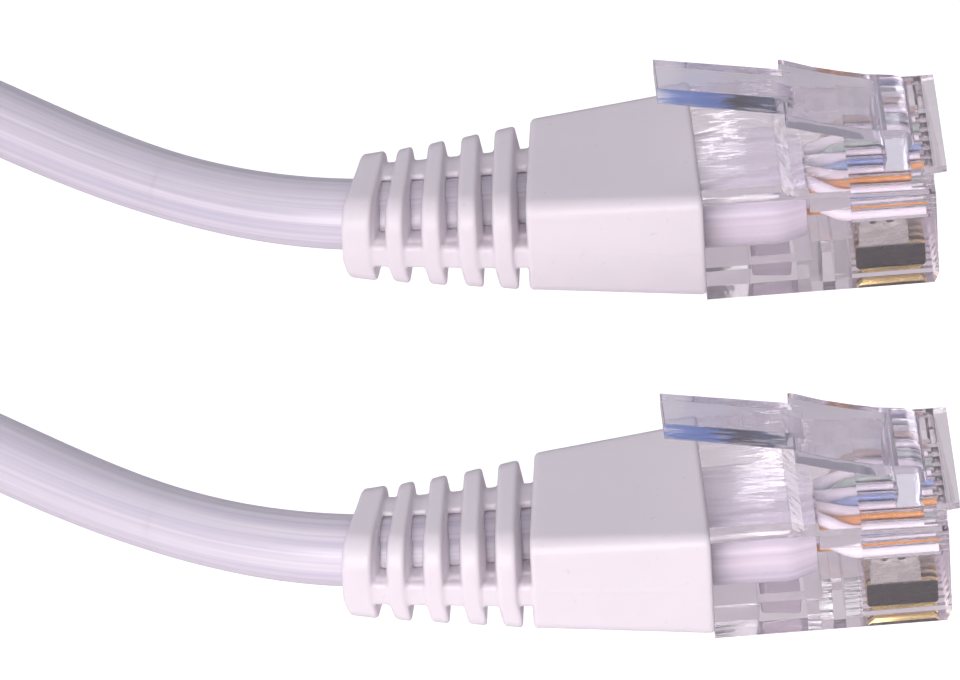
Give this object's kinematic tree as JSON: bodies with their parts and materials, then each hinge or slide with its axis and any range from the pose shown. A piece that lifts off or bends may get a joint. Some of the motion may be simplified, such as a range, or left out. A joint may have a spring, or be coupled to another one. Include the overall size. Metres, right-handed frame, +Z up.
{
  "type": "ethernet patch cable",
  "caption": "Round white network patch cable in a flat loop with a clear latching modular plug and a ribbed strain-relief boot at each end.",
  "frame": {"origin": "centre of plug A's flat front face, at mid-height between contacts 4 and 5", "axes": "+X is the direction both plugs are pushed into a socket, +Z is up towards the latch, +Y is across the plug from contact 1 to contact 8; plug B lies beside plug A towards -Y"},
  "size_m": [0.1073, 0.0765, 0.0141],
  "materials": {
    "clear_plastic": "gloss",
    "boot_plastic": "satin",
    "jacket": "satin",
    "contact_gold": "polished",
    "wire_core": "satin",
    "wire_white_orange": "satin",
    "wire_orange": "satin",
    "wire_white_green": "satin",
    "wire_blue": "satin",
    "wire_white_blue": "satin",
    "wire_green": "satin",
    "wire_white_brown": "satin",
    "wire_brown": "satin"
  },
  "bodies": {
    "plug_a": {"housing_a": "clear_plastic", "jacket_clamp_a": "clear_plastic", "boot_a": "boot_plastic", "jacket_end_a": "jacket", "contact_1_a": "contact_gold", "contact_2_a": "contact_gold", "contact_3_a": "contact_gold", "contact_4_a": "contact_gold", "contact_5_a": "contact_gold", "contact_6_a": "contact_gold", "contact_7_a": "contact_gold", "contact_8_a": "contact_gold", "conductor_1_white_orange_a": "wire_white_orange", "conductor_2_orange_a": "wire_orange", "conductor_3_white_green_a": "wire_white_green", "conductor_4_blue_a": "wire_blue", "conductor_5_white_blue_a": "wire_white_blue", "conductor_6_green_a": "wire_green", "conductor_7_white_brown_a": "wire_white_brown", "conductor_8_brown_a": "wire_brown"},
    "latch_a": {"latch_a": "clear_plastic"},
    "link_1": {"jacket_link_1": "jacket", "pairs_link_1": "wire_core"},
    "link_2": {"jacket_link_2": "jacket", "pairs_link_2": "wire_core"},
    "link_3": {"jacket_link_3": "jacket", "pairs_link_3": "wire_core"},
    "link_4": {"jacket_link_4": "jacket", "pairs_link_4": "wire_core"},
    "link_5": {"jacket_link_5": "jacket", "pairs_link_5": "wire_core"},
    "link_6": {"jacket_link_6": "jacket", "pairs_link_6": "wire_core"},
    "link_7": {"jacket_link_7": "jacket", "pairs_link_7": "wire_core"},
    "link_8": {"jacket_link_8": "jacket", "pairs_link_8": "wire_core"},
    "plug_b": {"housing_b": "clear_plastic", "jacket_clamp_b": "clear_plastic", "boot_b": "boot_plastic", "jacket_end_b": "jacket", "contact_1_b": "contact_gold", "contact_2_b": "contact_gold", "contact_3_b": "contact_gold", "contact_4_b": "contact_gold", "contact_5_b": "contact_gold", "contact_6_b": "contact_gold", "contact_7_b": "contact_gold", "contact_8_b": "contact_gold", "conductor_1_white_orange_b": "wire_white_orange", "conductor_2_orange_b": "wire_orange", "conductor_3_white_green_b": "wire_white_green", "conductor_4_blue_b": "wire_blue", "conductor_5_white_blue_b": "wire_white_blue", "conductor_6_green_b": "wire_green", "conductor_7_white_brown_b": "wire_white_brown", "conductor_8_brown_b": "wire_brown"},
    "latch_b": {"latch_b": "clear_plastic"}
  },
  "joints": [
    {"name": "latch_a_press", "type": "hinge", "parent": "plug_a", "child": "latch_a", "pos_m": [-0.002, 0, 0.005], "axis": [0, 1, 0], "range_deg": [-15, 2]},
    {"name": "bend_1", "type": "hinge", "parent": "plug_a", "child": "link_1", "pos_m": [-0.03946, 0.00136, 0.00002], "axis": [0, 0, -1], "range_deg": [-22, 10]},
    {"name": "lift_2", "type": "hinge", "parent": "link_1", "child": "link_2", "pos_m": [-0.05726, 0.01463, -0.00166], "axis": [0.6972, 0.7169, 0], "range_deg": [-14, 10]},
    {"name": "bend_3", "type": "hinge", "parent": "link_2", "child": "link_3", "pos_m": [-0.07329, 0.02814, -0.0017], "axis": [0, 0, 1], "range_deg": [-34, 10]},
    {"name": "bend_4", "type": "hinge", "parent": "link_3", "child": "link_4", "pos_m": [-0.09332, 0.02934, -0.0017], "axis": [0, 0, 1], "range_deg": [-58, 6]},
    {"name": "bend_5", "type": "hinge", "parent": "link_4", "child": "link_5", "pos_m": [-0.10416, 0.0125, -0.0017], "axis": [0, 0, 1], "range_deg": [-60, 6]},
    {"name": "bend_6", "type": "hinge", "parent": "link_5", "child": "link_6", "pos_m": [-0.09471, -0.00516, -0.0017], "axis": [0, 0, 1], "range_deg": [-58, 6]},
    {"name": "bend_7", "type": "hinge", "parent": "link_6", "child": "link_7", "pos_m": [-0.07442, -0.0098, -0.0017], "axis": [0, 0, -1], "range_deg": [-14, 10]},
    {"name": "lift_8", "type": "hinge", "parent": "link_7", "child": "link_8", "pos_m": [-0.05954, -0.02156, -0.00166], "axis": [-0.6972, -0.7169, 0], "range_deg": [-14, 10]},
    {"name": "bend_9", "type": "hinge", "parent": "link_8", "child": "plug_b", "pos_m": [-0.04174, -0.03484, 0.00002], "axis": [0, 0, -1], "range_deg": [-22, 10]},
    {"name": "latch_b_press", "type": "hinge", "parent": "plug_b", "child": "latch_b", "pos_m": [-0.00429, -0.03619, 0.005], "axis": [0, 1, 0], "range_deg": [-15, 2]}
  ]
}
